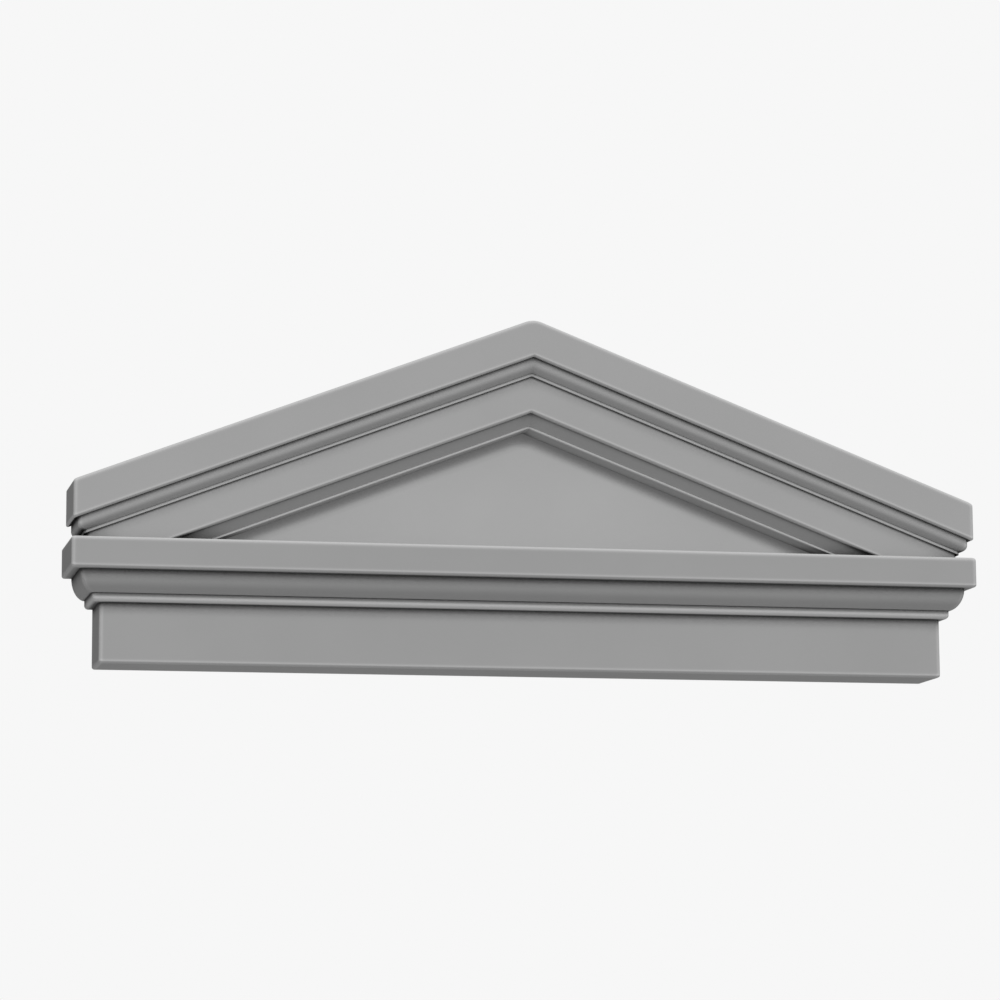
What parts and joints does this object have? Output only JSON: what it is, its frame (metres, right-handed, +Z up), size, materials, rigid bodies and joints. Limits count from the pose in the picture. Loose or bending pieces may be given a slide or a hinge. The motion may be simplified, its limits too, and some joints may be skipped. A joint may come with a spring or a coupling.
{
  "type": "classical pediment",
  "caption": "Plain moulded classical pediment: a frieze, bead, ovolo and corona under a low gable with raking mouldings and a sunk tympanum, cut flat at the back.",
  "frame": {"origin": "middle of the bounding box in plan, at the level of the frieze's underside", "axes": "+Z up, the front faces -Y, the wall is at +Y, and +X runs along the frieze to the right as seen from the front"},
  "size_m": [1.2, 0.122, 0.4554],
  "materials": {
    "grey_coat": "matte"
  },
  "bodies": {
    "root": {"pediment": "grey_coat"}
  },
  "joints": []
}
